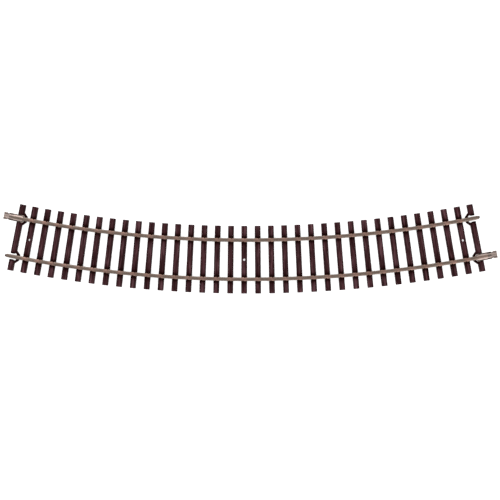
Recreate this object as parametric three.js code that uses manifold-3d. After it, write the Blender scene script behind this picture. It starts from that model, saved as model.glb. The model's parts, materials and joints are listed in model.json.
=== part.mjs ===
// One curved section of model railway track: a moulded tie strip, two rails and two rail joiners.
// Millimetres. +X runs along the chord of the curve, +Y points to the curve's centre, +Z is up.
import * as THREE from 'three';
import { mergeVertices } from 'three/addons/utils/BufferGeometryUtils.js';
import Module from 'manifold-3d';

const wasm = await Module();
wasm.setup();

// ---- Driving dimensions: the section ----
const CURVE_RADIUS = 558.8; // to the centre line between the rails
const SECTION_ANGLE = THREE.MathUtils.degToRad(22.5); // sixteen sections make a circle
const RAIL_SPACING = 18; // centre to centre, for a gauge of 17.05 between the heads

// ---- Driving dimensions: the tie strip ----
const TIE_COUNT = 35;
const TIE_SPACING = 6.288; // between centres, round the curve
const END_TIE_SPACING = 6.04; // from an end tie to the next, which is a little closer
const TIE_LENGTH = 31.2;
const TIE_WIDTH = 2.7;
const TIE_HEIGHT = 1.75;
const TIE_EDGE = 0.12; // chamfer along the top edges
const PLATE_LENGTH = 3.1; // tie plate, along the tie
const PLATE_WIDTH = 1.7;
const PLATE_HEIGHT = 0.1;
const SPIKE_WIDTH = 0.5; // along the rail
const SPIKE_STAGGER = 0.42; // the two spikes at a rail sit this far to either side of the tie's centre
const SPIKE_OUTER = 1.2; // from the rail's centre to the back of a spike
const SPIKE_INNER = 0.68; // from the rail's centre to the nose of a spike
const SPIKE_TOP = 0.52; // above the rail's underside
const SPIKE_THROAT = 0.35; // underside of the nose, above the rail's underside
const WEB_WIDTH = 1.1; // strip that joins the ties under each rail
const WEB_BOTTOM = 0.25;
const WEB_TOP = 1.3;
const NAIL_HOLE_RADIUS = 0.53;
const NAIL_HOLE_TIES = [1, 17, 33]; // counted from 0 at the -X end

// ---- Driving dimensions: the loops in the end ties, which leave room for a rail joiner ----
const OPENING_WIDTH = 2.7; // along the tie
const OPENING_REACH = 0.44; // past the tie's inner face
const POCKET_START = 0.25; // from the tie's centre to where the opening starts to widen
const POCKET_WIDTH = 3.25;
const POCKET_CORNER = 0.7; // radius of the pocket's two inner corners
const LOOP_BASE_WIDTH = 6.1; // along the tie, where the loop leaves it
const LOOP_REACH = 1.72; // past the tie's inner face, with shoulders at 45 degrees
const RELIEF_WIDTH = 3.7; // low part of the tie and the loop that a joiner slides over
const RELIEF_DEPTH = 0.32;

// ---- Driving dimensions: the rails ----
const RAIL_HEIGHT = 2.1;
const FOOT_WIDTH = 1.7;
const FOOT_EDGE = 0.22; // thickness of the foot at its edge
const FOOT_CROWN = 0.4; // height where the foot meets the web
const WEB_THICKNESS = 0.5;
const HEAD_WIDTH = 0.95;
const HEAD_BOTTOM = 1.56;
const HEAD_ROUND = 0.14; // rounding of the head's top corners
const RAIL_STEPS = 32;
const SEAT_GAP = 0.02; // between the tie plates and the rails
const FOOT_NIP_LENGTH = 0.5; // corners nipped off the foot at each end, so that a joiner slides on
const FOOT_NIP_DEPTH = 0.2;

// ---- Driving dimensions: the rail joiners, folded from sheet ----
const JOINER_LENGTH = 9.4;
const JOINER_WIDTH = 3.4; // over the folds
const SHEET = 0.3;
const FLOOR_GAP = 0.05; // between the joiner's floor and the rail's underside
const LIP_GAP = 0.08; // between the edges of the lips and the top of the foot
const LIP_EDGE = 0.42; // from the joiner's centre to the edge of each lip
const LIP_SLOPE = THREE.MathUtils.degToRad(15); // the lips rise towards the rail's web
const FOLD_STEPS = 8;
const TAB_LENGTH = 1.8; // the low free end, past the notches
const TAB_HEIGHT = 0.3; // what is left of the walls there, above the floor
const NOTCH_LENGTH = 0.8;
const NECK_WIDTH = 2.7; // what the notches leave of the floor
const LIP_NIP_LENGTH = 1.7; // corners nipped off the walls and lips at the end on the rail
const LIP_NIP_DEPTH = 0.9;

// ---- Worked out from the dimensions above ----
const ARC_LENGTH = CURVE_RADIUS * SECTION_ANGLE;
const MIDDLE_TIE = (TIE_COUNT - 1) / 2;
const END_TIE_PLACE = (MIDDLE_TIE - 1) * TIE_SPACING + END_TIE_SPACING; // from the middle of the section
const END_TIE_INSET = ARC_LENGTH / 2 - END_TIE_PLACE;
const RAIL_BOTTOM = TIE_HEIGHT + PLATE_HEIGHT + SEAT_GAP;
const INNER_SIDE = RAIL_SPACING / 2;
const OUTER_SIDE = -RAIL_SPACING / 2;
const MERGE_DISTANCE = 1e-4;
const OVERRUN = 1; // how far a cutter runs past what it cuts

// Turns an outline drawn across the track (x across, y up), extruded along z, into the track's axes.
const ACROSS_TO_TRACK = new THREE.Matrix4().makeBasis(
  new THREE.Vector3(0, 1, 0),
  new THREE.Vector3(0, 0, 1),
  new THREE.Vector3(1, 0, 0),
);

// ---- Helpers ----
function toSolid(geometry) {
  const bare = geometry.clone();
  bare.deleteAttribute('normal');
  bare.deleteAttribute('uv');
  const merged = mergeVertices(bare, MERGE_DISTANCE);
  return new wasm.Manifold(new wasm.Mesh({
    numProp: 3,
    vertProperties: new Float32Array(merged.attributes.position.array),
    triVerts: new Uint32Array(merged.index.array),
  }));
}

function toGeometry(solid) {
  const mesh = solid.getMesh();
  const geometry = new THREE.BufferGeometry();
  geometry.setAttribute('position', new THREE.BufferAttribute(mesh.vertProperties, 3));
  geometry.setIndex(new THREE.BufferAttribute(mesh.triVerts, 1));
  geometry.computeVertexNormals();
  return geometry;
}

function outline(points) {
  return new THREE.Shape(points.map(([x, y]) => new THREE.Vector2(x, y)));
}

// Points of the right half of an outline that is the same on both sides, made into the whole outline.
function mirroredOutline(rightHalf) {
  const leftHalf = rightHalf.map(([x, y]) => [-x, y]).reverse();
  return outline([...rightHalf, ...leftHalf]);
}

// A wedge that nips a corner off a bar whose end is at x = tip and whose side is at y = side.
// end and edge are each +1 or -1, and say which of the bar's four corners it is.
function nipOutline(tip, side, length, depth, end, edge) {
  const slope = depth / length;
  const points = [
    [tip - length, side],
    [tip + OVERRUN, side - depth - OVERRUN * slope],
    [tip + OVERRUN, side + OVERRUN],
    [tip - length, side + OVERRUN],
  ];
  return outline(points.map(([x, y]) => [x * end, y * edge]));
}

// Points on an arc about (x, y), from one angle to another.
function arcPoints(x, y, radius, from, to) {
  return Array.from({ length: FOLD_STEPS + 1 }, (_, i) => {
    const angle = from + ((to - from) * i) / FOLD_STEPS;
    return [x + radius * Math.cos(angle), y + radius * Math.sin(angle)];
  });
}

function upright(shape, bottom, top) {
  const geometry = new THREE.ExtrudeGeometry(shape, {
    depth: top - bottom,
    bevelEnabled: false,
    curveSegments: 5,
  });
  return geometry.translate(0, 0, bottom);
}

// Extrudes an outline drawn across the track, centred on x = 0.
function along(shape, length, steps = 1) {
  const geometry = new THREE.ExtrudeGeometry(shape, { depth: length, steps, bevelEnabled: false });
  return geometry.translate(0, 0, -length / 2).applyMatrix4(ACROSS_TO_TRACK);
}

// Bends straight track to the curve: x becomes the way round, y the way to the curve's centre.
function bend(geometry) {
  const position = geometry.attributes.position;
  for (let i = 0; i < position.count; i += 1) {
    const angle = position.getX(i) / CURVE_RADIUS;
    const radius = CURVE_RADIUS - position.getY(i);
    position.setX(i, radius * Math.sin(angle));
    position.setY(i, CURVE_RADIUS - radius * Math.cos(angle));
  }
  return geometry;
}

// Moves a geometry from the middle of the section round the curve to an angle.
function swing(geometry, angle) {
  geometry.translate(0, -CURVE_RADIUS, 0);
  geometry.rotateZ(angle);
  return geometry.translate(0, CURVE_RADIUS, 0);
}

function box(width, length, bottom, top) {
  return new THREE.BoxGeometry(width, length, top - bottom).translate(0, 0, (top + bottom) / 2);
}

// ---- Tie strip ----
function isEndTie(index) {
  return index === 0 || index === TIE_COUNT - 1;
}

function tieAngle(index) {
  const fromMiddle = index - MIDDLE_TIE;
  const place = isEndTie(index) ? Math.sign(fromMiddle) * END_TIE_PLACE : fromMiddle * TIE_SPACING;
  return place / CURVE_RADIUS;
}

function tieBar() {
  const half = TIE_WIDTH / 2;
  const section = mirroredOutline([
    [half, 0],
    [half, TIE_HEIGHT - TIE_EDGE],
    [half - TIE_EDGE, TIE_HEIGHT],
  ]);
  return along(section, TIE_LENGTH).rotateZ(Math.PI / 2);
}

function tiePlate(side) {
  return box(PLATE_WIDTH, PLATE_LENGTH, TIE_HEIGHT - PLATE_HEIGHT, TIE_HEIGHT + PLATE_HEIGHT)
    .translate(0, side, 0);
}

// A spike beside the rail: a stem with a nose that laps over the rail's foot.
function spike(side, facing) {
  const stem = FOOT_WIDTH / 2 + 2 * SEAT_GAP;
  const throat = RAIL_BOTTOM + SPIKE_THROAT;
  const top = RAIL_BOTTOM + SPIKE_TOP;
  const section = outline([
    [stem, TIE_HEIGHT],
    [SPIKE_OUTER, TIE_HEIGHT],
    [SPIKE_OUTER, throat],
    [stem, top],
    [SPIKE_INNER, top - TIE_EDGE / 2],
    [SPIKE_INNER, throat],
    [stem, throat],
  ]);
  const turn = facing > 0 ? 0 : Math.PI;
  return along(section, SPIKE_WIDTH)
    .translate(SPIKE_STAGGER, 0, 0)
    .rotateZ(turn)
    .translate(0, side, 0);
}

function plainTie() {
  let tie = toSolid(tieBar());
  for (const side of [INNER_SIDE, OUTER_SIDE]) {
    tie = tie.add(toSolid(tiePlate(side)));
    tie = tie.add(toSolid(spike(side, 1)));
    tie = tie.add(toSolid(spike(side, -1)));
  }
  return tie;
}

function loopOutline() {
  const base = LOOP_BASE_WIDTH / 2;
  const face = TIE_WIDTH / 2;
  return outline([
    [0, -base],
    [face, -base],
    [face + LOOP_REACH, LOOP_REACH - base],
    [face + LOOP_REACH, base - LOOP_REACH],
    [face, base],
    [0, base],
  ]);
}

// A slot from the tie's outer face, which widens to a pocket with rounded corners in the loop.
function openingOutline() {
  const mouth = OPENING_WIDTH / 2;
  const pocket = POCKET_WIDTH / 2;
  const start = -TIE_WIDTH / 2 - OVERRUN;
  const end = TIE_WIDTH / 2 + OPENING_REACH;
  const corner = POCKET_CORNER;
  const shape = new THREE.Shape();
  shape.moveTo(start, -mouth);
  shape.lineTo(POCKET_START, -mouth);
  shape.lineTo(POCKET_START + pocket - mouth, -pocket);
  shape.lineTo(end - corner, -pocket);
  shape.absarc(end - corner, corner - pocket, corner, -Math.PI / 2, 0);
  shape.lineTo(end, pocket - corner);
  shape.absarc(end - corner, pocket - corner, corner, 0, Math.PI / 2);
  shape.lineTo(POCKET_START + pocket - mouth, pocket);
  shape.lineTo(POCKET_START, mouth);
  shape.lineTo(start, mouth);
  return shape;
}

// The tie at an end, with +X of its own towards the middle of the section.
function endTie() {
  const reliefLength = TIE_WIDTH + LOOP_REACH + 2 * OVERRUN;
  let tie = toSolid(tieBar());
  for (const side of [INNER_SIDE, OUTER_SIDE]) {
    const loop = toSolid(upright(loopOutline(), 0, TIE_HEIGHT - TIE_EDGE).translate(0, side, 0));
    const opening = toSolid(upright(openingOutline(), -OVERRUN, TIE_HEIGHT + OVERRUN).translate(0, side, 0));
    const relief = toSolid(box(reliefLength, RELIEF_WIDTH, TIE_HEIGHT - RELIEF_DEPTH, TIE_HEIGHT + OVERRUN)
      .translate(LOOP_REACH / 2, side, 0));
    tie = tie.add(loop).subtract(relief).subtract(opening);
  }
  return tie;
}

function nailHole() {
  return new THREE.CylinderGeometry(NAIL_HOLE_RADIUS, NAIL_HOLE_RADIUS, TIE_HEIGHT + 2 * OVERRUN, 16)
    .rotateX(Math.PI / 2)
    .translate(0, 0, TIE_HEIGHT / 2);
}

// The strips under the rails, which stop inside the loops of the end ties.
function web(side) {
  const section = mirroredOutline([
    [WEB_WIDTH / 2, WEB_BOTTOM],
    [WEB_WIDTH / 2, WEB_TOP],
  ]);
  const endGap = END_TIE_INSET + TIE_WIDTH / 2 + (OPENING_REACH + LOOP_REACH) / 2;
  return bend(along(section, ARC_LENGTH - 2 * endGap, TIE_COUNT - 1).translate(0, side, 0));
}

function tieStripGeometry() {
  const plain = toGeometry(plainTie());
  const end = toGeometry(endTie());
  let strip = toSolid(web(INNER_SIDE)).add(toSolid(web(OUTER_SIDE)));
  for (let i = 0; i < TIE_COUNT; i += 1) {
    const tie = (isEndTie(i) ? end : plain).clone();
    if (i > MIDDLE_TIE) {
      tie.rotateZ(Math.PI);
    }
    strip = strip.add(toSolid(swing(tie, tieAngle(i))));
    if (NAIL_HOLE_TIES.includes(i)) {
      strip = strip.subtract(toSolid(swing(nailHole(), tieAngle(i))));
    }
  }
  return toGeometry(strip);
}

// ---- Rails ----
function railSection() {
  const foot = FOOT_WIDTH / 2;
  const webHalf = WEB_THICKNESS / 2;
  const head = HEAD_WIDTH / 2;
  const fillet = webHalf / 2;
  return mirroredOutline([
    [foot, 0],
    [foot, FOOT_EDGE],
    [webHalf + fillet, FOOT_CROWN],
    [webHalf, FOOT_CROWN + fillet],
    [webHalf, HEAD_BOTTOM - fillet],
    [head, HEAD_BOTTOM],
    [head, RAIL_HEIGHT - HEAD_ROUND],
    [head - HEAD_ROUND / 3, RAIL_HEIGHT - HEAD_ROUND / 3],
    [head - HEAD_ROUND, RAIL_HEIGHT],
  ]);
}

function footNip(end, edge) {
  return nipOutline(ARC_LENGTH / 2, FOOT_WIDTH / 2, FOOT_NIP_LENGTH, FOOT_NIP_DEPTH, end, edge);
}

function railGeometry(side) {
  let rail = toSolid(bend(along(railSection(), ARC_LENGTH, RAIL_STEPS).translate(0, side, 0)));
  for (const end of [1, -1]) {
    for (const edge of [1, -1]) {
      const nip = upright(footNip(end, edge), -OVERRUN, HEAD_BOTTOM / 2);
      rail = rail.subtract(toSolid(bend(nip.translate(0, side, 0))));
    }
  }
  return toGeometry(rail);
}

// ---- Rail joiners ----
// The folded channel, drawn with the top of its floor at y = 0. Each side is one round fold,
// whose radius is the one that meets both the floor and the sloping lip smoothly.
function joinerSection() {
  const footSlope = (FOOT_CROWN - FOOT_EDGE) / (FOOT_WIDTH / 2 - WEB_THICKNESS * 0.75);
  const lipTip = FLOOR_GAP + FOOT_EDGE + (FOOT_WIDTH / 2 - LIP_EDGE) * footSlope + LIP_GAP;
  const inside = JOINER_WIDTH / 2 - SHEET;
  const rise = Math.tan(LIP_SLOPE);
  const radius = (lipTip - (inside - LIP_EDGE) * rise) / (1 + 1 / Math.cos(LIP_SLOPE) - rise);
  const bottom = -Math.PI / 2;
  const top = Math.PI / 2 - LIP_SLOPE;
  return mirroredOutline([
    ...arcPoints(inside - radius, radius, radius + SHEET, bottom, top),
    [LIP_EDGE + SHEET * Math.sin(LIP_SLOPE), lipTip + SHEET * Math.cos(LIP_SLOPE)],
    [LIP_EDGE, lipTip],
    ...arcPoints(inside - radius, radius, radius, top, bottom),
  ]);
}

function lipNip(edge) {
  const tip = JOINER_LENGTH / 2;
  return nipOutline(tip, JOINER_WIDTH / 2, LIP_NIP_LENGTH, LIP_NIP_DEPTH, -1, edge);
}

// What is cut from the folded channel: the walls and lips off the tab, the notches behind it,
// and two corners off the walls and lips, but not the floor, at the end on the rail.
// The free end is at +X.
function joinerCutters() {
  const tabCentre = (JOINER_LENGTH - TAB_LENGTH + OVERRUN) / 2;
  const notchCentre = (JOINER_LENGTH - NOTCH_LENGTH) / 2 - TAB_LENGTH;
  const notchSide = (NECK_WIDTH + OVERRUN) / 2;
  const wide = JOINER_WIDTH + OVERRUN;
  return [
    box(TAB_LENGTH + OVERRUN, wide, TAB_HEIGHT, 2 * OVERRUN).translate(tabCentre, 0, 0),
    box(NOTCH_LENGTH, wide, SHEET / 3, 2 * OVERRUN).translate(notchCentre, 0, 0),
    box(NOTCH_LENGTH, OVERRUN, -OVERRUN, OVERRUN).translate(notchCentre, notchSide, 0),
    box(NOTCH_LENGTH, OVERRUN, -OVERRUN, OVERRUN).translate(notchCentre, -notchSide, 0),
    upright(lipNip(1), 0, 2 * OVERRUN),
    upright(lipNip(-1), 0, 2 * OVERRUN),
  ];
}

function joinerGeometry() {
  let joiner = toSolid(along(joinerSection(), JOINER_LENGTH));
  for (const cutter of joinerCutters()) {
    joiner = joiner.subtract(toSolid(cutter));
  }
  return toGeometry(joiner);
}

// ---- Materials ----
function tiePlastic() {
  return new THREE.MeshStandardMaterial({ color: 0x3e282a, roughness: 0.75, metalness: 0 });
}

function railMetal() {
  return new THREE.MeshStandardMaterial({ color: 0x7d695f, roughness: 0.4, metalness: 0.9 });
}

function joinerMetal() {
  return new THREE.MeshStandardMaterial({ color: 0xa8978a, roughness: 0.35, metalness: 0.9 });
}

// ---- Assembly ----
function piece(name, geometry, material) {
  const mesh = new THREE.Mesh(geometry, material);
  mesh.name = name;
  return mesh;
}

function rail(name, side) {
  const mesh = piece(name, railGeometry(side), railMetal());
  mesh.position.z = RAIL_BOTTOM;
  return mesh;
}

// A joiner halfway onto one end of a rail; end is +1 at the +X end and -1 at the -X end.
function joiner(name, side, end) {
  const mesh = piece(name, joinerGeometry(), joinerMetal());
  const angle = (end * SECTION_ANGLE) / 2;
  const radius = CURVE_RADIUS - side;
  mesh.position.set(
    radius * Math.sin(angle),
    CURVE_RADIUS - radius * Math.cos(angle),
    RAIL_BOTTOM - FLOOR_GAP,
  );
  mesh.rotation.z = end > 0 ? angle : angle + Math.PI;
  return mesh;
}

const track = new THREE.Group();
track.add(
  piece('tie_strip', tieStripGeometry(), tiePlastic()),
  rail('inner_rail', INNER_SIDE),
  rail('outer_rail', OUTER_SIDE),
  joiner('inner_rail_joiner', INNER_SIDE, -1),
  joiner('outer_rail_joiner', OUTER_SIDE, 1),
);

// The origin is the middle of the section's box, on the surface that the ties rest on.
const centre = new THREE.Box3().setFromObject(track, true).getCenter(new THREE.Vector3());
track.position.set(-centre.x, -centre.y, 0);

const group = new THREE.Group();
group.add(track);

export default group;
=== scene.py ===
import json
import math

import bmesh
import bpy
import numpy as np
from mathutils import Matrix, Vector


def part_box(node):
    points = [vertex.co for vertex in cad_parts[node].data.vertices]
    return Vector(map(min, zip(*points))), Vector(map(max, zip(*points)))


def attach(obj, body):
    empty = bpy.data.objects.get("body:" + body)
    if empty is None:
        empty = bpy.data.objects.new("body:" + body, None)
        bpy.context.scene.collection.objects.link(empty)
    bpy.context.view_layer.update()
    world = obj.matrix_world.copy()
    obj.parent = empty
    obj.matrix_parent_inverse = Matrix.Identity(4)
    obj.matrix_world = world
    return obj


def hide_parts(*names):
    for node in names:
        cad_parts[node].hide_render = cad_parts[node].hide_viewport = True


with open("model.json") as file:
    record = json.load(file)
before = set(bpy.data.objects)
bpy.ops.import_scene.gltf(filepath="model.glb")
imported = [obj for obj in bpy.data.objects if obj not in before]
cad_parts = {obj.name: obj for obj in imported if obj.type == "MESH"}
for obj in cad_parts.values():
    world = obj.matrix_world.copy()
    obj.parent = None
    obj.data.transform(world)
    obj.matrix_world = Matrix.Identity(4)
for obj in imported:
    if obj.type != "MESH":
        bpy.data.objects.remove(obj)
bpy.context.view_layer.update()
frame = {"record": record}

# Meshes are drawn in millimetres, in the track's own axes (along, side, height), then scaled.
MM = 0.001

# ---- Places read from the frame, in millimetres ----


def mount_place(name):
    mount = next(m for m in frame["record"]["mounts"] if m["name"] == name)
    return Vector(mount["pos_m"]) / MM


def node_box(node):
    low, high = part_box(node)
    return low / MM, high / MM


STRIP_LOW, STRIP_HIGH = node_box("tie_strip")
RAIL_LOW, RAIL_HIGH = node_box("inner_rail")
TIE_HEIGHT = mount_place("nail_seat_middle").z
RAIL_BOTTOM = RAIL_LOW.z
RAIL_HEIGHT = RAIL_HIGH.z - RAIL_LOW.z

# ---- Driving dimensions of the section, in millimetres ----
CURVE_RADIUS = 558.8
SECTION_ANGLE = math.radians(22.5)
RAIL_SPACING = 18.0
SIDES = {"inner": RAIL_SPACING / 2, "outer": -RAIL_SPACING / 2}
# The end of each rail that carries a joiner: -1 at the -X end and 1 at the +X end.
JOINED_ENDS = {"inner": -1, "outer": 1}

TIE_COUNT = 35
TIE_SPACING = 6.288
END_TIE_SPACING = 6.04
TIE_LENGTH = 31.2
TIE_WIDTH = 2.7
TIE_DRAFT = 0.03
TIE_ROUND = 0.15
PLATE_LENGTH = 3.1
PLATE_WIDTH = 1.7
PLATE_HEIGHT = 0.1
PLATE_ROOT = 0.25
PLATE_ROUND = 0.15
PLATE_EDGE = 0.03
SPIKE_WIDTH = 0.5
SPIKE_STAGGER = 0.42
SPIKE_OUTER = 1.2
SPIKE_INNER = 0.68
SPIKE_TOP = 0.52
SPIKE_THROAT = 0.35
SPIKE_ROOT = 0.2
SPIKE_GAP = 0.04
SPIKE_ROUND = 0.06
WEB_WIDTH = 1.1
WEB_BOTTOM = 0.25
WEB_TOP = 1.3
WEB_TAPER = 0.05
WEB_ROUND = 0.08
NAIL_HOLE_RADIUS = 0.53
NAIL_HOLE_EDGE = 0.12
NAIL_HOLE_TIES = (1, 17, 33)

OPENING_WIDTH = 2.7
OPENING_REACH = 0.44
OPENING_ROUND = 0.1
POCKET_START = 0.25
POCKET_WIDTH = 3.25
POCKET_CORNER = 0.9
LOOP_BASE_WIDTH = 6.1
LOOP_REACH = 1.72
LOOP_DROP = 0.12
LOOP_EDGE = 0.07
RELIEF_WIDTH = 3.7
RELIEF_DEPTH = 0.32
RELIEF_EDGE = 0.08

FOOT_WIDTH = 1.7
FOOT_EDGE = 0.22
FOOT_CROWN = 0.4
WEB_THICKNESS = 0.5
HEAD_WIDTH = 0.95
HEAD_BOTTOM = 1.56
FOOT_NIP_LENGTH = 0.5
FOOT_NIP_DEPTH = 0.2
FOOT_NIP_TOP = 0.8
METAL_EDGE = 0.04

JOINER_LENGTH = 9.4
JOINER_WIDTH = 3.4
SHEET = 0.3
FLOOR_GAP = 0.05
LIP_GAP = 0.08
LIP_EDGE = 0.42
LIP_SLOPE = math.radians(15)
TAB_LENGTH = 1.8
TAB_HEIGHT = 0.3
NOTCH_LENGTH = 0.8
NECK_WIDTH = 2.7
LIP_NIP_LENGTH = 1.7
LIP_NIP_DEPTH = 0.9

# ---- Worked out from the dimensions above ----
ARC_LENGTH = CURVE_RADIUS * SECTION_ANGLE
MIDDLE_TIE = (TIE_COUNT - 1) / 2
END_TIE_PLACE = (MIDDLE_TIE - 1) * TIE_SPACING + END_TIE_SPACING
END_TIE_INSET = ARC_LENGTH / 2 - END_TIE_PLACE
CENTRE_X = (STRIP_LOW.x + STRIP_HIGH.x) / 2
CENTRE_Y = STRIP_LOW.y + TIE_LENGTH / 2
OVERRUN = 1.0


# ---- Placing ----
def round_the_curve(points):
    """Points (along the centre line, to the side, height) bent to the curve, in the row frame."""
    points = np.asarray(points, float)
    angle = points[..., 0] / CURVE_RADIUS
    radius = CURVE_RADIUS - points[..., 1]
    x = CENTRE_X + radius * np.sin(angle)
    y = CENTRE_Y + CURVE_RADIUS - radius * np.cos(angle)
    return np.stack([x, y, points[..., 2]], -1)


def rigidly(points, angle):
    """Points drawn at the middle of the section, swung whole round the curve to an angle."""
    points = np.asarray(points, float)
    radius = CURVE_RADIUS - points[..., 1]
    x = CENTRE_X + radius * math.sin(angle) + points[..., 0] * math.cos(angle)
    y = CENTRE_Y + CURVE_RADIUS - radius * math.cos(angle) + points[..., 0] * math.sin(angle)
    return np.stack([x, y, points[..., 2]], -1)


def tie_angle(index):
    """The angle round the curve of a tie, or of an array of them; the end ties stand a little closer."""
    place = (np.asarray(index) - MIDDLE_TIE) * TIE_SPACING
    return np.clip(place, -END_TIE_PLACE, END_TIE_PLACE) / CURVE_RADIUS


def curve_place(points):
    """The angle round the curve and the radius of each point of a finished shape."""
    x = points[:, 0] - CENTRE_X
    y = CURVE_RADIUS - (points[:, 1] - CENTRE_Y)
    return np.arctan2(x, y), np.hypot(x, y)


def nearest_tie(angle):
    index = np.round(angle * CURVE_RADIUS / TIE_SPACING + MIDDLE_TIE)
    return np.clip(index, 0, TIE_COUNT - 1)


# ---- Mesh helpers ----
def tube(rings):
    """Points and faces of a closed tube through rings of points, shape (rings, points, 3)."""
    count, size = rings.shape[:2]
    around = np.arange(size)
    after = (around + 1) % size
    faces = []
    for i in range(count - 1):
        here, there = i * size, (i + 1) * size
        quads = np.stack([here + around, here + after, there + after, there + around], 1)
        faces.extend(quads.tolist())
    faces.append(list(range(size - 1, -1, -1)))
    faces.append(list(range((count - 1) * size, count * size)))
    return rings.reshape(-1, 3), faces


def joined(shapes):
    """Several (points, faces) as one."""
    points, faces, start = [], [], 0
    for shape_points, shape_faces in shapes:
        points.append(shape_points)
        faces.extend([[start + v for v in face] for face in shape_faces])
        start += len(shape_points)
    return np.concatenate(points), faces


def make_object(name, shape):
    """An object from (points, faces) in millimetres, its faces pointing out."""
    points, faces = shape
    mesh = bpy.data.meshes.new(name)
    mesh.from_pydata(np.asarray(points).tolist(), [], faces)
    bm = bmesh.new()
    bm.from_mesh(mesh)
    bmesh.ops.recalc_face_normals(bm, faces=bm.faces)
    bm.to_mesh(mesh)
    bm.free()
    obj = bpy.data.objects.new(name, mesh)
    bpy.context.scene.collection.objects.link(obj)
    return obj


def combine(target, other, operation):
    """Joins other to target, or cuts it away, and removes other."""
    modifier = target.modifiers.new("combine", "BOOLEAN")
    modifier.object = other
    modifier.operation = operation
    modifier.solver = "MANIFOLD"
    depsgraph = bpy.context.evaluated_depsgraph_get()
    mesh = bpy.data.meshes.new_from_object(target.evaluated_get(depsgraph))
    target.modifiers.clear()
    target.data = mesh
    bpy.data.objects.remove(other)


SHARP_ANGLE = math.radians(40)


def finish_piece(obj, node, body, material):
    """Scales a piece to metres, shades it, and stands it in for its CAD node."""
    obj.data.transform(Matrix.Scale(MM, 4))
    obj.data.shade_smooth()
    obj.data.set_sharp_from_angle(angle=SHARP_ANGLE)
    obj.data.materials.clear()
    obj.data.materials.append(material)
    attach(obj, body)
    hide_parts(node)


def rounded(corners, radius, steps=3):
    """An outline with each corner rounded; a corner is (x, y) or (x, y, its own radius)."""
    corners = [c if len(c) == 3 else (*c, radius) for c in corners]
    count = len(corners)
    points = []
    for i, (x, y, r) in enumerate(corners):
        here = Vector((x, y))
        before = Vector(corners[i - 1][:2]) - here
        after = Vector(corners[(i + 1) % count][:2]) - here
        if r == 0:
            points.append((x, y))
            continue
        start = here + before.normalized() * min(r, before.length / 2)
        end = here + after.normalized() * min(r, after.length / 2)
        for k in range(steps + 1):
            t = k / steps
            points.append(tuple(start * (1 - t) ** 2 + here * (2 * t * (1 - t)) + end * t * t))
    return points


def rectangle(half_width, start, end):
    """Corners from start to end in x, and half_width to each side."""
    return [(start, -half_width), (end, -half_width), (end, half_width), (start, half_width)]


def inset(outline, amount):
    """An outline pulled in towards its middle by about an amount."""
    outline = np.asarray(outline, float)
    middle = (outline.max(0) + outline.min(0)) / 2
    half = (outline.max(0) - outline.min(0)) / 2
    return middle + (outline - middle) * (1 - amount / half)


def prism(outline, bottom, top, edge=0.0):
    """An outline in the first two axes carried from bottom to top, with chamfered ends."""
    levels = [(bottom, edge), (bottom + edge, 0), (top - edge, 0), (top, edge)]
    if edge == 0:
        levels = [(bottom, 0), (top, 0)]
    rings = []
    for height, amount in levels:
        ring = inset(outline, amount) if amount else np.asarray(outline, float)
        rings.append(np.column_stack([ring, np.full(len(ring), height)]))
    return tube(np.array(rings))


def drawn_bar(section, reach, stations):
    """A section carried along from -reach to reach, with its end edges chamfered."""
    section = np.asarray(section, float)
    places = np.linspace(METAL_EDGE - reach, reach - METAL_EDGE, stations)
    ends = inset(section, METAL_EDGE)
    rings = [(-reach, ends), *((place, section) for place in places), (reach, ends)]
    return tube(np.array([np.column_stack([np.full(len(ring), at), ring]) for at, ring in rings]))


def across_track(shape):
    """A prism drawn (side, height, along) put into the order (along, side, height)."""
    points, faces = shape
    return points[:, [2, 0, 1]], faces


def moved(shape, offset):
    points, faces = shape
    return points + np.asarray(offset, float), faces


def half_turn(shape):
    points, faces = shape
    return points * (-1, -1, 1), faces


def mirrored(right_half):
    """The whole outline from its right half, which runs from the bottom to the top."""
    left_half = [(-c[0], *c[1:]) for c in reversed(right_half)]
    return [*right_half, *left_half]


# ---- Wood grain moulded into the ties ----
GROOVES_ON_A_TIE = 15
CRACKS_ON_A_TIE = 3
GRAIN_SEED = 83


def grain_of(index):
    """The grooves and end cracks of one tie, as arrays, the same on each run."""
    rng = np.random.default_rng(GRAIN_SEED + index)
    reach = TIE_WIDTH / 2 + TIE_HEIGHT
    half = TIE_LENGTH / 2
    count = GROOVES_ON_A_TIE + CRACKS_ON_A_TIE
    middle = rng.uniform(-half, half, count)
    length = rng.uniform(6, 22, count)
    depth = rng.uniform(0.02, 0.055, count)
    width = rng.uniform(0.05, 0.13, count)
    place = rng.uniform(-reach, reach, count)
    cracks = slice(GROOVES_ON_A_TIE, None)
    middle[cracks] = half * rng.choice([-1, 1], CRACKS_ON_A_TIE)
    length[cracks] = rng.uniform(2, 7, CRACKS_ON_A_TIE)
    depth[cracks] = rng.uniform(0.06, 0.1, CRACKS_ON_A_TIE)
    width[cracks] = 0.05
    place[cracks] = rng.uniform(-TIE_WIDTH / 2.6, TIE_WIDTH / 2.6, CRACKS_ON_A_TIE)
    return {
        "middle": middle,
        "length": length,
        "depth": depth,
        "width": width,
        "place": place,
        "sway": rng.uniform(0.02, 0.12, count),
        "wave": rng.uniform(7, 20, count),
        "phase": rng.uniform(0, 2 * math.pi, count),
        "swell": rng.uniform(0, 2 * math.pi, 3),
    }


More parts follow.
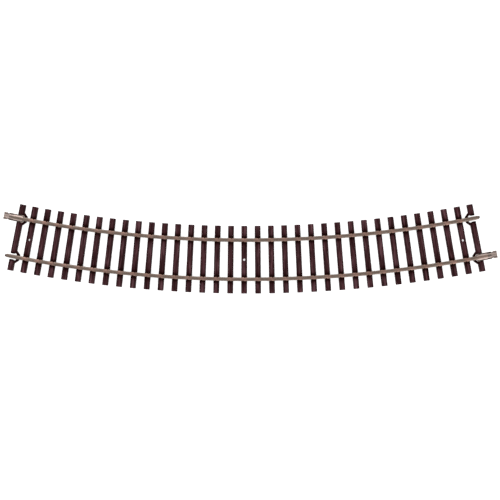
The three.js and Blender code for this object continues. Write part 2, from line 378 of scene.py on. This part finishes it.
def grain_depth(grain, girth, along):
    """How deep the grain is at a place on a tie: girth is the way round from the top's middle."""
    total = np.zeros(np.shape(girth))
    for k in range(len(grain["depth"])):
        line = grain["place"][k] + grain["sway"][k] * np.sin(
            2 * math.pi * along / grain["wave"][k] + grain["phase"][k]
        )
        beside = np.exp(-(((girth - line) / grain["width"][k]) ** 2))
        beyond = np.abs(along - grain["middle"][k]) / grain["length"][k]
        fade = np.clip(2 - 2 * beyond, 0, 1)
        total += grain["depth"][k] * beside * fade * fade * (3 - 2 * fade)
    swell = sum(
        np.sin(along / (1.7 + 1.3 * k) + girth * (k + 1) + phase)
        for k, phase in enumerate(grain["swell"])
    )
    return total + 0.006 * (swell + 3)


# ---- Tie strip ----
TOP_COLUMNS = 18
SIDE_ROWS = 6
TIE_STATIONS = 78
TIE_END_ROUND = 0.1
NAIL_HOLE_SIDES = 28
WEB_STATIONS = 120


def tie_section():
    """Right half of a tie's section from the bottom up: rows of (x, z, normal x, normal z)."""
    half = TIE_WIDTH / 2
    shoulder = TIE_HEIGHT - TIE_ROUND
    rows = []
    for share in np.linspace(0, 1, SIDE_ROWS):
        rows.append((half - TIE_DRAFT * share, shoulder * share, 1, 0))
    centre_x = half - TIE_DRAFT - TIE_ROUND
    for angle in (math.radians(30), math.radians(60)):
        c, s = math.cos(angle), math.sin(angle)
        rows.append((centre_x + TIE_ROUND * c, shoulder + TIE_ROUND * s, c, s))
    for x in np.linspace(centre_x, 0, TOP_COLUMNS // 2, endpoint=False):
        rows.append((x, TIE_HEIGHT, 0, 1))
    right = np.array(rows)
    left = right[::-1] * (-1, 1, -1, 1)
    return np.concatenate([right, left])


def girth_of(x, z):
    """Way round a tie's surface from the middle of its top, right side positive."""
    on_side = np.sign(x) * (TIE_WIDTH / 2 + TIE_HEIGHT - z)
    return np.where(z > TIE_HEIGHT - TIE_ROUND * 1.3, x, on_side)


def tie_shape(index):
    """One tie with its grain, at the middle of the section."""
    section = tie_section()
    grain = grain_of(index)
    half = TIE_LENGTH / 2
    end_turns = np.radians((90, 45, 0))
    inner = half - TIE_END_ROUND
    ends = [
        (inner + TIE_END_ROUND * math.sin(turn), TIE_END_ROUND * (1 - math.cos(turn))) for turn in end_turns
    ]
    between = [(y, 0) for y in np.linspace(inner, -inner, TIE_STATIONS)[1:-1]]
    stations = ends + between + [(-y, amount) for y, amount in reversed(ends)]
    girth = girth_of(section[:, 0], section[:, 1])
    rings = []
    for y, amount in stations:
        depth = grain_depth(grain, girth, np.full(len(girth), y))
        depth = np.where(section[:, 1] < 0.01, 0, depth)
        x = section[:, 0] * (1 - amount / (TIE_WIDTH / 2)) - section[:, 2] * depth
        z = section[:, 1] * (1 - amount / TIE_HEIGHT) - section[:, 3] * depth
        rings.append(np.column_stack([x, np.full(len(x), y), z]))
    return tube(np.array(rings))


def tie_plate_shape(side):
    """The plate on a tie that the rail stands on."""
    plate = rounded(rectangle(PLATE_LENGTH / 2, -PLATE_WIDTH / 2, PLATE_WIDTH / 2), PLATE_ROUND)
    shape = prism(plate, TIE_HEIGHT - PLATE_ROOT, TIE_HEIGHT + PLATE_HEIGHT, PLATE_EDGE)
    return moved(shape, (0, side, 0))


def spike_shape(side, facing):
    """A spike beside the rail, its head lapping over the foot."""
    stem = FOOT_WIDTH / 2 + SPIKE_GAP
    nose = SPIKE_INNER + 0.01
    root = TIE_HEIGHT - SPIKE_ROOT
    throat = RAIL_BOTTOM + SPIKE_THROAT
    top = RAIL_BOTTOM + SPIKE_TOP
    outline = rounded(
        [
            (stem, root, 0),
            (SPIKE_OUTER - 0.02, root, 0),
            (SPIKE_OUTER, throat - SPIKE_ROUND),
            (SPIKE_OUTER - 0.04, throat + SPIKE_ROUND),
            (stem + 0.08, top),
            (nose, top - SPIKE_ROUND),
            (nose, throat),
            (stem, throat, 0.02),
        ],
        SPIKE_ROUND,
    )
    half = SPIKE_WIDTH / 2
    spike = moved(across_track(prism(outline, -half, half, 0.05)), (SPIKE_STAGGER, 0, 0))
    if facing < 0:
        spike = half_turn(spike)
    return moved(spike, (0, side, 0))


def loop_shape(side):
    """The widened part of an end tie, which closes a rail's opening on the inner side."""
    base, face = LOOP_BASE_WIDTH / 2, TIE_WIDTH / 2
    tip = face + LOOP_REACH
    outline = rounded(
        [
            (0, -base, 0),
            (face, -base, 0.3),
            (tip, LOOP_REACH - base),
            (tip, base - LOOP_REACH),
            (face, base, 0.3),
            (0, base, 0),
        ],
        0.35,
        4,
    )
    return moved(prism(outline, 0, TIE_HEIGHT - LOOP_DROP, LOOP_EDGE), (0, side, 0))


def opening_shape(side):
    """A slot from the tie's outer face, which widens to a pocket in the loop."""
    mouth, pocket = OPENING_WIDTH / 2, POCKET_WIDTH / 2
    widening = pocket - mouth
    start = -TIE_WIDTH / 2 - OVERRUN
    end = TIE_WIDTH / 2 + OPENING_REACH
    upper = [
        (end, pocket, POCKET_CORNER),
        (POCKET_START + widening, pocket, OPENING_ROUND),
        (POCKET_START, mouth, OPENING_ROUND),
        (start, mouth, 0),
    ]
    lower = [(x, -y, r) for x, y, r in reversed(upper)]
    outline = rounded([*lower, *upper], OPENING_ROUND, 6)
    return moved(prism(outline, -OVERRUN, TIE_HEIGHT + OVERRUN), (0, side, 0))


def relief_shape(side):
    """The low part of an end tie and its loop, which a joiner slides over."""
    start, end = -TIE_WIDTH / 2 - OVERRUN, TIE_WIDTH / 2 + LOOP_REACH + OVERRUN
    corners = rectangle(RELIEF_WIDTH / 2 + RELIEF_EDGE, start, end)
    shape = prism(corners, TIE_HEIGHT - RELIEF_DEPTH, TIE_HEIGHT + OVERRUN, RELIEF_EDGE)
    return moved(shape, (0, side, 0))


def nail_hole_shape():
    """A nail hole, countersunk a little at the top of its tie."""
    turns = np.linspace(0, 2 * math.pi, NAIL_HOLE_SIDES, endpoint=False)
    circle = np.column_stack([np.cos(turns), np.sin(turns)])
    levels = (
        (-OVERRUN, 0),
        (TIE_HEIGHT - NAIL_HOLE_EDGE, 0),
        (TIE_HEIGHT, NAIL_HOLE_EDGE),
        (TIE_HEIGHT + OVERRUN, NAIL_HOLE_EDGE),
    )
    rings = [
        np.column_stack([circle * (NAIL_HOLE_RADIUS + wider), np.full(len(circle), height)])
        for height, wider in levels
    ]
    return tube(np.array(rings))


def web_shape(side):
    """The strip under a rail that joins the ties, from one end's loops to the other's."""
    half = WEB_WIDTH / 2
    top_half = half - WEB_TAPER
    corners = [(half, WEB_BOTTOM), (top_half, WEB_TOP), (-top_half, WEB_TOP), (-half, WEB_BOTTOM)]
    outline = rounded(corners, WEB_ROUND, 2)
    end_gap = END_TIE_INSET + TIE_WIDTH / 2 + (OPENING_REACH + LOOP_REACH) / 2
    reach = ARC_LENGTH / 2 - end_gap
    rings = [
        np.column_stack([np.full(len(outline), along), np.array(outline) + (side, 0)])
        for along in np.linspace(-reach, reach, WEB_STATIONS)
    ]
    points, faces = tube(np.array(rings))
    return round_the_curve(points), faces


def tie_strip():
    """The whole moulding: all the ties joined by the webs, then fitted out for the rails and nails."""
    ties, plates, additions, reliefs, openings, holes = [], [], [], [], [], []
    for index in range(TIE_COUNT):
        angle = tie_angle(index)

        def placed(shape, angle=angle):
            return rigidly(shape[0], angle), shape[1]

        ties.append(placed(tie_shape(index)))
        if index in (0, TIE_COUNT - 1):
            for side in SIDES.values():
                for shape, group in (
                    (loop_shape(side), additions),
                    (relief_shape(side), reliefs),
                    (opening_shape(side), openings),
                ):
                    group.append(placed(half_turn(shape) if index else shape))
            continue
        for side in SIDES.values():
            plates.append(placed(tie_plate_shape(side)))
            for facing in (1, -1):
                additions.append(placed(spike_shape(side, facing)))
        if index in NAIL_HOLE_TIES:
            holes.append(placed(nail_hole_shape()))
    webs = [web_shape(side) for side in SIDES.values()]
    strip = make_object("moulded_tie_strip", joined(ties))
    for name, shapes, operation in (
        ("webs", webs, "UNION"),
        ("plates", plates, "UNION"),
        ("spikes_and_loops", additions, "UNION"),
        ("reliefs", reliefs, "DIFFERENCE"),
        ("openings", openings, "DIFFERENCE"),
        ("nail_holes", holes, "DIFFERENCE"),
    ):
        combine(strip, make_object(name, joined(shapes)), operation)
    mark_tie_places(strip)
    return strip


def add_attribute(mesh, name, values):
    """Stores one number, or one vector, for each vertex."""
    values = np.asarray(values, np.float32)
    kind = "FLOAT" if values.ndim == 1 else "FLOAT_VECTOR"
    attribute = mesh.attributes.new(name, kind, "POINT")
    attribute.data.foreach_set("value" if values.ndim == 1 else "vector", values.ravel())


def vertex_places(mesh):
    points = np.zeros(len(mesh.vertices) * 3)
    mesh.vertices.foreach_get("co", points)
    return points.reshape(-1, 3)


PATTERN_STEP = 7.3
DEEP_GROOVE = 0.08
# Where the painted shade beside each rail starts, and how far it fades, in millimetres from the rail's
# line.
RAIL_SHADE_START, RAIL_SHADE_FADE = 1.2, 4
EDGE_START, EDGE_FADE = 0.35, 0.85


def mark_tie_places(strip):
    """Stores each vertex's place on its own tie, the grain's depth, and how near a rail or edge it is;
    nearness to a rail drives the painted shade beside the rails.
    """
    points = vertex_places(strip.data)
    angle, radius = curve_place(points)
    index = nearest_tie(angle)
    turn = angle - tie_angle(index)
    across = radius * np.sin(turn)
    along = CURVE_RADIUS - radius * np.cos(turn)
    place = np.column_stack([across + index * PATTERN_STEP, along, points[:, 2]])
    girth = girth_of(across, points[:, 2])
    groove = np.zeros(len(points))
    for i in range(TIE_COUNT):
        here = index == i
        groove[here] = grain_depth(grain_of(i), girth[here], along[here])
    beside = np.abs(np.abs(along) - RAIL_SPACING / 2)
    add_attribute(strip.data, "tie_place", place)
    add_attribute(strip.data, "groove", np.clip(groove / DEEP_GROOVE, 0, 1))
    add_attribute(strip.data, "seat", np.clip(1 - (beside - RAIL_SHADE_START) / RAIL_SHADE_FADE, 0, 1))
    add_attribute(strip.data, "edge", np.clip((np.abs(across) - EDGE_START) / EDGE_FADE, 0, 1))


# ---- Rails ----
RAIL_STATIONS = 180


def rail_outline():
    """A rail's section, with the middle of its foot's underside at (0, 0)."""
    foot, web, head = FOOT_WIDTH / 2, WEB_THICKNESS / 2, HEAD_WIDTH / 2
    corners = [
        (foot, 0, 0.05),
        (foot, FOOT_EDGE, 0.07),
        (web, FOOT_CROWN, 0.16),
        (web, HEAD_BOTTOM - 0.08, 0.14),
        (head, HEAD_BOTTOM, 0.08),
        (head, RAIL_HEIGHT - 0.02, 0.17),
        (0.12, RAIL_HEIGHT, 0.1),
    ]
    return np.array(rounded(mirrored(corners), 0.05, 4))


def wedge(tip, side, length, depth, end, edge, bottom, top):
    """A cutter that nips one corner off a bar ending at tip; end and edge are each 1 or -1."""
    slope = depth / length
    corners = np.array(
        [
            (tip - length, side),
            (tip + OVERRUN, side - depth - OVERRUN * slope),
            (tip + OVERRUN, side + OVERRUN),
            (tip - length, side + OVERRUN),
        ]
    )
    return prism(corners * (end, edge), bottom, top)


def foot_nip(end, edge):
    """A cutter for one corner of a rail's foot."""
    reach, foot = ARC_LENGTH / 2, FOOT_WIDTH / 2
    return wedge(reach, foot, FOOT_NIP_LENGTH, FOOT_NIP_DEPTH, end, edge, -OVERRUN, FOOT_NIP_TOP)


def rail(name):
    side = SIDES[name]

    def on_the_curve(shape):
        points, faces = moved(shape, (0, side, RAIL_BOTTOM))
        return round_the_curve(points), faces

    bar = drawn_bar(rail_outline(), ARC_LENGTH / 2, RAIL_STATIONS)
    piece = make_object(f"{name}_drawn_rail", on_the_curve(bar))
    nips = [on_the_curve(foot_nip(end, edge)) for end in (1, -1) for edge in (1, -1)]
    combine(piece, make_object("foot_nips", joined(nips)), "DIFFERENCE")
    mark_rail_places(piece, side, JOINED_ENDS[name])
    return piece


# Tones that multiply the rail's colour, and how far each reaches along the rail, in millimetres; the last
# is a painted highlight where the rail runs into the outer joiner.
GAP_TONE = np.array((1.0, 1.0, 1.0))
TIE_TONE, TIE_TONE_REACH = np.array((1.56, 1.24, 1.22)), 1.6
BARE_TIP_TONE, BARE_TIP_REACH = np.array((0.62, 0.66, 0.7)), 1.2
JOINED_TIP_HIGHLIGHT, HIGHLIGHT_REACH, HIGHLIGHT_FADE = np.array((1.42, 1.3, 1.3)), 5.4, 0.8


def mark_rail_places(piece, side, joined_end):
    """Stores where each vertex is along the rail, to its side and above its foot, and its tone.

    The metal is browner where a tie has kept it covered, grey with handling at the bare tip,
    and lighter, a painted highlight, where it runs into the outer joiner.
    """
    points = vertex_places(piece.data)
    angle, radius = curve_place(points)
    along = angle * CURVE_RADIUS
    lateral = CURVE_RADIUS - radius - side
    index = nearest_tie(angle)
    from_tie = np.abs(angle - tie_angle(index)) * CURVE_RADIUS
    seated = (index > 0) & (index < TIE_COUNT - 1)
    height = points[:, 2] - RAIL_BOTTOM
    add_attribute(piece.data, "metal_place", np.column_stack([along, lateral, height]))
    over_tie = (seated * np.clip(TIE_TONE_REACH - from_tie, 0, 1))[:, None]
    past_middle = along * joined_end
    to_bare_tip = ARC_LENGTH / 2 + past_middle
    at_bare_tip = np.clip(1 - to_bare_tip / BARE_TIP_REACH, 0, 1)[:, None]
    to_joined_tip = ARC_LENGTH / 2 - past_middle
    # Painted highlight: lighter metal over the last few millimetres where the rail runs into the outer
    # joiner.
    joined_tip_highlight = (joined_end > 0) * np.clip((HIGHLIGHT_REACH - to_joined_tip) / HIGHLIGHT_FADE, 0, 1)[:, None]
    tone = GAP_TONE + (TIE_TONE - GAP_TONE) * over_tie
    tone = tone + (BARE_TIP_TONE - tone) * at_bare_tip
    add_attribute(piece.data, "tone", tone + (JOINED_TIP_HIGHLIGHT - tone) * joined_tip_highlight)


# ---- Rail joiners ----
JOINER_STATIONS = 40


def arc_points(x, y, radius, start, end, steps):
    return [(x + radius * math.cos(a), y + radius * math.sin(a), 0) for a in np.linspace(start, end, steps)]


def joiner_outline():
    """The folded sheet's section, with the top of its floor at height 0."""
    foot_slope = (FOOT_CROWN - FOOT_EDGE) / (FOOT_WIDTH / 2 - WEB_THICKNESS * 0.75)
    lip_tip = FLOOR_GAP + FOOT_EDGE + (FOOT_WIDTH / 2 - LIP_EDGE) * foot_slope + LIP_GAP
    inside = JOINER_WIDTH / 2 - SHEET
    rise = math.tan(LIP_SLOPE)
    radius = (lip_tip - (inside - LIP_EDGE) * rise) / (1 + 1 / math.cos(LIP_SLOPE) - rise)
    bottom, top = -math.pi / 2, math.pi / 2 - LIP_SLOPE
    right_half = [
        *arc_points(inside - radius, radius, radius + SHEET, bottom, top, 14),
        (LIP_EDGE + SHEET * math.sin(LIP_SLOPE), lip_tip + SHEET * math.cos(LIP_SLOPE), 0.07),
        (LIP_EDGE, lip_tip, 0.05),
        *arc_points(inside - radius, radius, radius, top, bottom, 8),
    ]
    return np.array(rounded(mirrored(right_half), 0.05, 4))


def block(length, width, bottom, top, offset):
    return moved(prism(rectangle(width / 2, -length / 2, length / 2), bottom, top), offset)


def joiner_cutters():
    """Cutters for the tab's walls, the notches, and the lips' corners at the end on the rail."""
    tip = JOINER_LENGTH / 2
    tab_centre = tip + (OVERRUN - TAB_LENGTH) / 2
    notch_centre = tip - TAB_LENGTH - NOTCH_LENGTH / 2
    notch_side = (NECK_WIDTH + OVERRUN) / 2
    wide = JOINER_WIDTH + OVERRUN
    return [
        block(TAB_LENGTH + OVERRUN, wide, TAB_HEIGHT, 2, (tab_centre, 0, 0)),
        block(NOTCH_LENGTH, wide, SHEET / 3, 2, (notch_centre, 0, 0)),
        block(NOTCH_LENGTH, OVERRUN, -2, 2, (notch_centre, notch_side, 0)),
        block(NOTCH_LENGTH, OVERRUN, -2, 2, (notch_centre, -notch_side, 0)),
        wedge(tip, JOINER_WIDTH / 2, LIP_NIP_LENGTH, LIP_NIP_DEPTH, -1, 1, 0, 2),
        wedge(tip, JOINER_WIDTH / 2, LIP_NIP_LENGTH, LIP_NIP_DEPTH, -1, -1, 0, 2),
    ]


def joiner(name, end):
    """A joiner halfway onto the end of a rail; end is -1 at the -X end and 1 at the +X end."""
    bar = drawn_bar(joiner_outline(), JOINER_LENGTH / 2, JOINER_STATIONS)
    piece = make_object(f"{name}_folded_joiner", bar)
    for cutter in joiner_cutters():
        combine(piece, make_object("cutter", cutter), "DIFFERENCE")
    add_attribute(piece.data, "metal_place", vertex_places(piece.data) + (0, 0, SHEET))
    place_joiner(piece, SIDES[name], end)
    return piece


def place_joiner(piece, side, end):
    """Turns a joiner along its rail's end and sets it under the foot."""
    angle = end * SECTION_ANGLE / 2
    radius = CURVE_RADIUS - side
    place = Vector(
        (
            CENTRE_X + radius * math.sin(angle),
            CENTRE_Y + CURVE_RADIUS - radius * math.cos(angle),
            RAIL_BOTTOM - FLOOR_GAP,
        )
    )
    turn = angle if end > 0 else angle + math.pi
    piece.data.transform(Matrix.Translation(place) @ Matrix.Rotation(turn, 4, "Z"))


# ---- Materials ----
# TIE_DEEP is the darkest tie colour: it fills the grain's grooves and is the painted shade beside the
# rails.
TIE_DEEP = (0.012, 0.0022, 0.0015)
TIE_DARK = (0.028, 0.0068, 0.0085)
TIE_MIDDLE = (0.0655, 0.0204, 0.0248)
TIE_LIGHT = (0.149, 0.0665, 0.079)
RAIL_DARK = (0.18, 0.132, 0.106)
RAIL_LIGHT = (0.285, 0.22, 0.182)
JOINER_DARK = (0.47, 0.363, 0.318)
JOINER_LIGHT = (0.69, 0.55, 0.5)
# The dark colour of the painted shade on the joiners.
JOINER_SHADE = (0.016, 0.0115, 0.0095)
METAL_ROUGHNESS = 0.36


def fill_ramp(ramp, stops):
    """Sets a colour ramp's stops: places from 0 to 1, each with a colour or a grey."""
    elements = ramp.color_ramp.elements
    while len(elements) < len(stops):
        elements.new(0.5)
    for element, (place, colour) in zip(elements, stops):
        element.position = place
        grey = isinstance(colour, (int, float))
        element.color = (colour, colour, colour, 1) if grey else (*colour, 1)


class Nodes:
    """Short names for building a material's nodes."""

    def __init__(self, name):
        self.material = bpy.data.materials.new(name)
        self.material.use_nodes = True
        self.tree = self.material.node_tree
        self.shader = self.tree.nodes["Principled BSDF"]

    def add(self, kind, **values):
        node = self.tree.nodes.new(kind)
        for key, value in values.items():
            setattr(node, key, value)
        return node

    def link(self, output, target):
        self.tree.links.new(output, target)

    def attribute(self, name, output):
        return self.add("ShaderNodeAttribute", attribute_name=name).outputs[output]

    def stretched_noise(self, vector, stretch, scale, detail=4.0, roughness=0.55):
        mapping = self.add("ShaderNodeMapping")
        mapping.inputs["Scale"].default_value = stretch
        self.link(vector, mapping.inputs["Vector"])
        noise = self.add("ShaderNodeTexNoise")
        noise.inputs["Scale"].default_value = scale
        noise.inputs["Detail"].default_value = detail
        noise.inputs["Roughness"].default_value = roughness
        self.link(mapping.outputs["Vector"], noise.inputs["Vector"])
        return noise.outputs["Fac"]

    def split(self, vector):
        """The three parts of a vector."""
        node = self.add("ShaderNodeSeparateXYZ")
        self.link(vector, node.inputs[0])
        return tuple(node.outputs)

    def math(self, operation, *values):
        """A sum on outputs and numbers."""
        node = self.add("ShaderNodeMath", operation=operation)
        for value, socket in zip(values, node.inputs):
            if isinstance(value, bpy.types.NodeSocket):
                self.link(value, socket)
            else:
                socket.default_value = value
        return node.outputs[0]

    def ramp(self, value, *stops):
        """A value turned into colours or greys."""
        ramp = self.add("ShaderNodeValToRGB")
        fill_ramp(ramp, stops)
        self.link(value, ramp.inputs["Fac"])
        return ramp.outputs["Color"]

    def mix(self, factor, first, second, blend="MIX"):
        """A mix of two colours; factor may be a number or an output."""
        mix = self.add("ShaderNodeMix", data_type="RGBA", blend_type=blend)
        for value, socket in ((factor, mix.inputs[0]), (first, mix.inputs[6]), (second, mix.inputs[7])):
            if isinstance(value, bpy.types.NodeSocket):
                self.link(value, socket)
            elif isinstance(value, tuple):
                socket.default_value = (*value, 1)
            else:
                socket.default_value = value
        return mix.outputs[2]

    def bump(self, height, strength, distance, normal=None):
        bump = self.add("ShaderNodeBump")
        bump.inputs["Strength"].default_value = strength
        bump.inputs["Distance"].default_value = distance
        self.link(height, bump.inputs["Height"])
        if normal is not None:
            self.link(normal, bump.inputs["Normal"])
        return bump.outputs["Normal"]


def tie_plastic():
    """Dark brown moulded plastic with streaks along each tie, darker edges, dark grain, and painted shade
    beside the rails.
    """
    nodes = Nodes("tie_plastic")
    place = nodes.attribute("tie_place", "Vector")
    streaks = nodes.stretched_noise(place, (1.5, 0.11, 1.2), 1.0, 5, 0.6)
    fibres = nodes.stretched_noise(place, (14, 0.7, 9), 1.0, 4, 0.6)
    patches = nodes.stretched_noise(place, (0.13, 0.16, 0.3), 1.0, 2)
    speckle = nodes.stretched_noise(place, (22, 22, 22), 1.0, 3)
    colour = nodes.ramp(streaks, (0.38, TIE_DARK), (0.5, TIE_MIDDLE), (0.64, TIE_LIGHT))
    tint = nodes.ramp(fibres, (0.3, 0.7), (0.7, 1.3))
    colour = nodes.mix(1.0, colour, tint, "MULTIPLY")
    tone = nodes.ramp(patches, (0.3, 0.75), (0.7, 1.25))
    colour = nodes.mix(1.0, colour, tone, "MULTIPLY")
    edge = nodes.ramp(nodes.attribute("edge", "Fac"), (0.0, 0.0), (0.9, 0.72))
    colour = nodes.mix(edge, colour, TIE_DARK)
    groove = nodes.ramp(nodes.attribute("groove", "Fac"), (0.2, 0.0), (0.9, 0.8))
    colour = nodes.mix(groove, colour, TIE_DEEP)
    # Painted shade: towards each rail the ties turn to TIE_DEEP and lose their specular, standing in for
    # the shadow beside the rail.
    rail_shade = nodes.attribute("seat", "Fac")
    rail_shade_stops = ((0.0, 0.0), (0.3, 0.08), (0.6, 0.18), (0.72, 0.3), (0.84, 0.68), (0.95, 0.92))
    colour = nodes.mix(nodes.ramp(rail_shade, *rail_shade_stops), colour, TIE_DEEP)
    nodes.link(colour, nodes.shader.inputs["Base Color"])
    nodes.link(nodes.ramp(streaks, (0.3, 0.78), (0.7, 0.62)), nodes.shader.inputs["Roughness"])
    nodes.link(nodes.ramp(rail_shade, (0.4, 0.1), (0.75, 0.02)), nodes.shader.inputs["Specular IOR Level"])
    fine = nodes.bump(fibres, 0.35, 0.00003)
    nodes.link(nodes.bump(speckle, 0.2, 0.000012, fine), nodes.shader.inputs["Normal"])
    return nodes.material


def nickel_silver(nodes, place, dark, light):
    """Drawn or rolled nickel silver: fine lines along the metal, tarnish, and handling marks.

    Returns the colour, and leaves it to the caller to finish it and link it.
    """
    lines = nodes.stretched_noise(place, (0.25, 16, 16), 1.0, 3)
    tarnish = nodes.stretched_noise(place, (0.18, 1.6, 1.6), 1.0, 5, 0.6)
    marks = nodes.stretched_noise(place, (2.2, 7, 7), 1.0, 4)
    colour = nodes.ramp(tarnish, (0.32, dark), (0.66, light))
    tint = nodes.ramp(lines, (0.35, 0.82), (0.65, 1.16))
    colour = nodes.mix(1.0, colour, tint, "MULTIPLY")
    stain = nodes.ramp(marks, (0.62, 0.0), (0.74, 0.4))
    colour = nodes.mix(stain, colour, tuple(0.55 * c for c in dark))
    rough = nodes.ramp(tarnish, (0.3, METAL_ROUGHNESS + 0.14), (0.7, METAL_ROUGHNESS - 0.04))
    nodes.link(rough, nodes.shader.inputs["Roughness"])
    nodes.shader.inputs["Metallic"].default_value = 1.0
    fine = nodes.bump(lines, 0.25, 0.000008)
    nodes.link(nodes.bump(marks, 0.15, 0.00001, fine), nodes.shader.inputs["Normal"])
    return colour


def rail_metal():
    """Nickel silver in the tones stored along a rail, one of which is a painted highlight by the outer
    joiner.
    """
    nodes = Nodes("rail_metal")
    place = nodes.attribute("metal_place", "Vector")
    colour = nickel_silver(nodes, place, RAIL_DARK, RAIL_LIGHT)
    colour = nodes.mix(1.0, colour, nodes.attribute("tone", "Vector"), "MULTIPLY")
    nodes.link(colour, nodes.shader.inputs["Base Color"])
    return nodes.material


def joiner_metal():
    """Nickel silver, with painted shade along the tops of the folds, on the floor under the lips, and in
    lines on the tab.
    """
    nodes = Nodes("joiner_metal")
    place = nodes.attribute("metal_place", "Vector")
    colour = nickel_silver(nodes, place, JOINER_DARK, JOINER_LIGHT)
    # Painted shade: a dark colour on the outer walls and tops of the folds, on the floor between the lips,
    # and in lines at the tab's inner corners, mottled by noise.
    along, aside, above = nodes.split(place)
    tab_start = JOINER_LENGTH / 2 - TAB_LENGTH - NOTCH_LENGTH
    past_rail = nodes.math("GREATER_THAN", along, 0.0)
    on_tab = nodes.math("GREATER_THAN", along, tab_start)
    from_middle = nodes.math("DIVIDE", nodes.math("ABSOLUTE", aside), JOINER_WIDTH / 2)
    height = nodes.math("DIVIDE", above, RAIL_HEIGHT)
    folds_on_rail = nodes.ramp(from_middle, (0.66, 0.0), (0.75, 1.0))
    folds_past_rail = nodes.ramp(from_middle, (0.5, 0.0), (0.6, 1.0))
    fold_tops = nodes.ramp(height, (0.21, 0.2), (0.32, 1.0))
    folds = nodes.math("MULTIPLY", nodes.mix(past_rail, folds_on_rail, folds_past_rail), fold_tops)
    on_floor = nodes.ramp(height, (0.08, 0.0), (0.12, 0.66), (0.16, 0.66), (0.24, 0.0))
    between_walls = nodes.ramp(from_middle, (0.8, 1.0), (0.85, 0.0))
    inside = nodes.math("MULTIPLY", on_floor, between_walls)
    under_lips = nodes.math("MAXIMUM", folds, inside)
    tab_stops = ((0.05, 0.35), (0.2, 0.08), (0.42, 0.08), (0.52, 0.75), (0.68, 0.75), (0.78, 0.5))
    tab = nodes.ramp(from_middle, *tab_stops)
    shade_mottle = nodes.ramp(nodes.stretched_noise(place, (0.9, 2.5, 2.5), 1.0, 4), (0.36, 0.72), (0.56, 1.0))
    painted_shade = nodes.math("MULTIPLY", nodes.mix(on_tab, under_lips, tab), shade_mottle)
    colour = nodes.mix(painted_shade, colour, JOINER_SHADE)
    nodes.link(colour, nodes.shader.inputs["Base Color"])
    # The painted shade is also made less metallic and less specular, so that it stays dark.
    nodes.link(nodes.ramp(painted_shade, (0.2, 1.0), (1.0, 0.1)), nodes.shader.inputs["Metallic"])
    nodes.link(nodes.ramp(painted_shade, (0.0, 0.5), (1.0, 0.04)), nodes.shader.inputs["Specular IOR Level"])
    return nodes.material


# ---- Floor, light and camera, in metres ----
FLOOR_HALF = 15.0
FLOOR_DROP = 0.00002
FLOOR_GLOW = 0.75


def floor_material():
    """Plain pale floor with the faintest mottle, glowing as a light table does."""
    nodes = Nodes("pale_floor")
    place = nodes.add("ShaderNodeTexCoord").outputs["Object"]
    mottle = nodes.stretched_noise(place, (9, 9, 9), 1.0, 3)
    nodes.link(nodes.ramp(mottle, (0.3, 0.9), (0.7, 0.92)), nodes.shader.inputs["Base Color"])
    nodes.shader.inputs["Emission Color"].default_value = (1, 1, 1, 1)
    nodes.shader.inputs["Emission Strength"].default_value = FLOOR_GLOW
    nodes.shader.inputs["Roughness"].default_value = 0.9
    nodes.shader.inputs["Specular IOR Level"].default_value = 0.1
    return nodes.material


def make_floor():
    mesh = bpy.data.meshes.new("floor")
    corners = [(x, y, -FLOOR_DROP) for x, y in rectangle(FLOOR_HALF, -FLOOR_HALF, FLOOR_HALF)]
    mesh.from_pydata(corners, [], [(0, 1, 2, 3)])
    floor = bpy.data.objects.new("floor", mesh)
    floor.data.materials.append(floor_material())
    bpy.context.scene.collection.objects.link(floor)


LIGHT_SIZE = 0.9
LIGHTS = {
    "key_light": ((-0.5, 0.55, 0.75), 2.8),
    "fill_light": ((0.55, -0.5, 0.75), 2.2),
}


def make_area_light(name, place, power):
    """A square soft light that faces the middle of the section."""
    light = bpy.data.lights.new(name, "AREA")
    light.shape = "SQUARE"
    light.size = LIGHT_SIZE
    light.energy = power
    lamp = bpy.data.objects.new(name, light)
    lamp.location = place
    lamp.rotation_mode = "QUATERNION"
    lamp.rotation_quaternion = (-Vector(place)).to_track_quat("-Z", "Y")
    bpy.context.scene.collection.objects.link(lamp)


WORLD_STRENGTH = 0.8
# Greys by height, from the horizon at 0 to straight overhead at 1.
WORLD_GREYS = ((0.0, 0.9), (0.8, 1.0), (0.97, 0.45))


def make_world():
    """Soft white surroundings, dimmer straight overhead, as under a camera on a stand."""
    world = bpy.data.worlds.new("studio")
    world.use_nodes = True
    bpy.context.scene.world = world
    tree = world.node_tree
    background = tree.nodes["Background"]
    coordinate = tree.nodes.new("ShaderNodeTexCoord")
    split = tree.nodes.new("ShaderNodeSeparateXYZ")
    ramp = tree.nodes.new("ShaderNodeValToRGB")
    tree.links.new(coordinate.outputs["Generated"], split.inputs["Vector"])
    tree.links.new(split.outputs["Z"], ramp.inputs["Fac"])
    tree.links.new(ramp.outputs["Color"], background.inputs["Color"])
    fill_ramp(ramp, WORLD_GREYS)
    background.inputs["Strength"].default_value = WORLD_STRENGTH


CAMERA_LENS = 72
CAMERA_PLACE = (0.01935, -0.01081, 0.46141)
CAMERA_TURNS = (1.272, 2.292, 0.139)


def make_camera():
    """A camera nearly straight above the section; its turns are in degrees."""
    camera = bpy.data.cameras.new("camera")
    camera.lens = CAMERA_LENS
    camera.clip_start = 0.01
    holder = bpy.data.objects.new("camera", camera)
    holder.location = CAMERA_PLACE
    holder.rotation_mode = "ZXY"
    holder.rotation_euler = [math.radians(turn) for turn in CAMERA_TURNS]
    bpy.context.scene.collection.objects.link(holder)
    bpy.context.scene.camera = holder


def make_studio():
    bpy.context.scene.view_settings.view_transform = "Standard"
    make_world()
    make_floor()
    for name, (place, power) in LIGHTS.items():
        make_area_light(name, place, power)


# ---- The model ----
make_camera()
make_studio()

ties_look = tie_plastic()
rail_look = rail_metal()
joiner_look = joiner_metal()

finish_piece(tie_strip(), "tie_strip", "track", ties_look)
for name in SIDES:
    finish_piece(rail(name), f"{name}_rail", "track", rail_look)
for name, end in JOINED_ENDS.items():
    finish_piece(joiner(name, end), f"{name}_rail_joiner", f"{name}_joiner", joiner_look)
